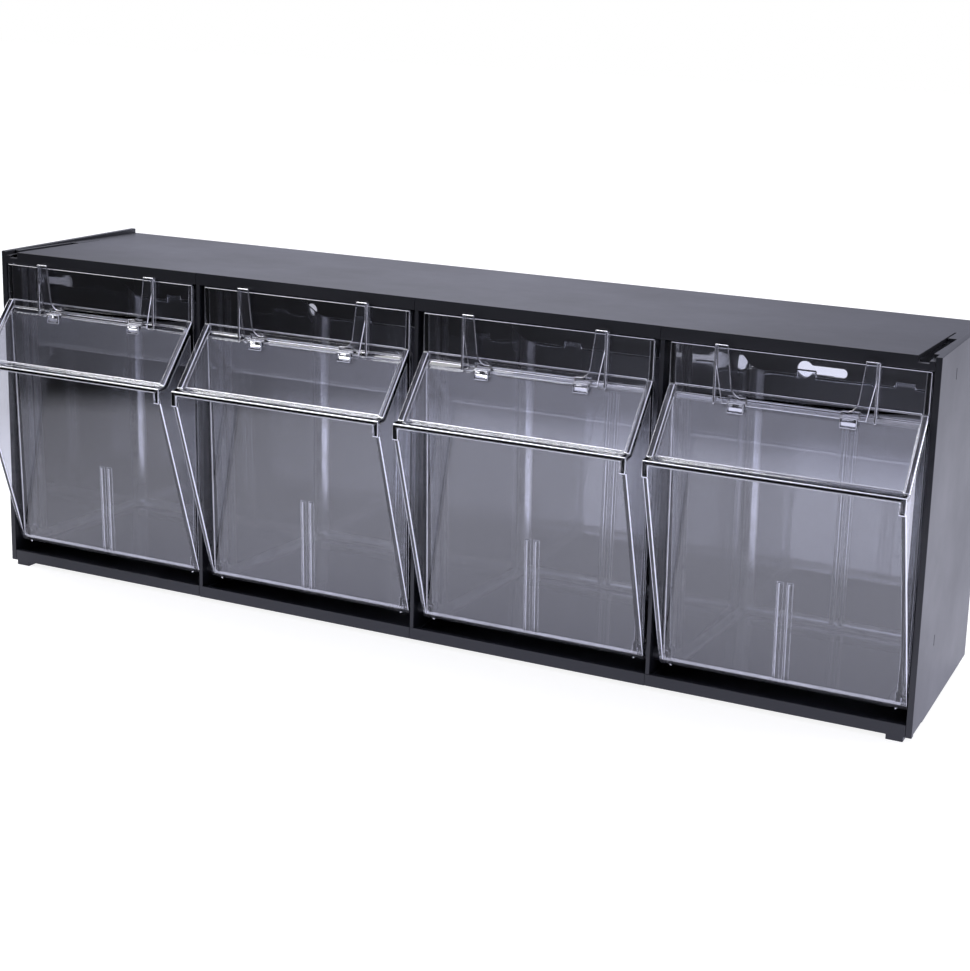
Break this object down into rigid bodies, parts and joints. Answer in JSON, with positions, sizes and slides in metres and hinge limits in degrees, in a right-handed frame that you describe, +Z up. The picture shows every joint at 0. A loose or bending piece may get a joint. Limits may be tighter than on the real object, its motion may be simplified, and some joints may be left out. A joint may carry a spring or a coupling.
{
  "type": "tilt-out bin unit",
  "caption": "Black housing with a row of clear bins that tip forward on low pivots; each bin has a slanted hood and a U-shaped label pull. Stands, stacks or hangs on a wall.",
  "frame": {"origin": "centre of the box round the part, seen from above, on the surface that the feet stand on", "axes": "+X to the right along the row of bins, +Y from the bins' fronts to the back, +Z up"},
  "size_m": [0.6, 0.1676, 0.2078],
  "materials": {
    "housing_black": "satin",
    "clear_plastic": "gloss"
  },
  "bodies": {
    "housing": {"housing_shell": "housing_black", "left_end_panel": "housing_black", "right_end_panel": "housing_black", "divider_1": "housing_black", "divider_2": "housing_black", "divider_3": "housing_black"},
    "tilt_bin_1": {"bin_1": "clear_plastic", "label_frame_1": "clear_plastic"},
    "tilt_bin_2": {"bin_2": "clear_plastic", "label_frame_2": "clear_plastic"},
    "tilt_bin_3": {"bin_3": "clear_plastic", "label_frame_3": "clear_plastic"},
    "tilt_bin_4": {"bin_4": "clear_plastic", "label_frame_4": "clear_plastic"}
  },
  "joints": [
    {"name": "bin_1_tilt", "type": "hinge", "parent": "housing", "child": "tilt_bin_1", "pos_m": [-0.225, -0.03875, 0.0203], "axis": [1, 0, 0], "range_deg": [0, 38.9]},
    {"name": "bin_2_tilt", "type": "hinge", "parent": "housing", "child": "tilt_bin_2", "pos_m": [-0.075, -0.03875, 0.0203], "axis": [1, 0, 0], "range_deg": [0, 38.9]},
    {"name": "bin_3_tilt", "type": "hinge", "parent": "housing", "child": "tilt_bin_3", "pos_m": [0.075, -0.03875, 0.0203], "axis": [1, 0, 0], "range_deg": [0, 38.9]},
    {"name": "bin_4_tilt", "type": "hinge", "parent": "housing", "child": "tilt_bin_4", "pos_m": [0.225, -0.03875, 0.0203], "axis": [1, 0, 0], "range_deg": [0, 38.9]}
  ]
}
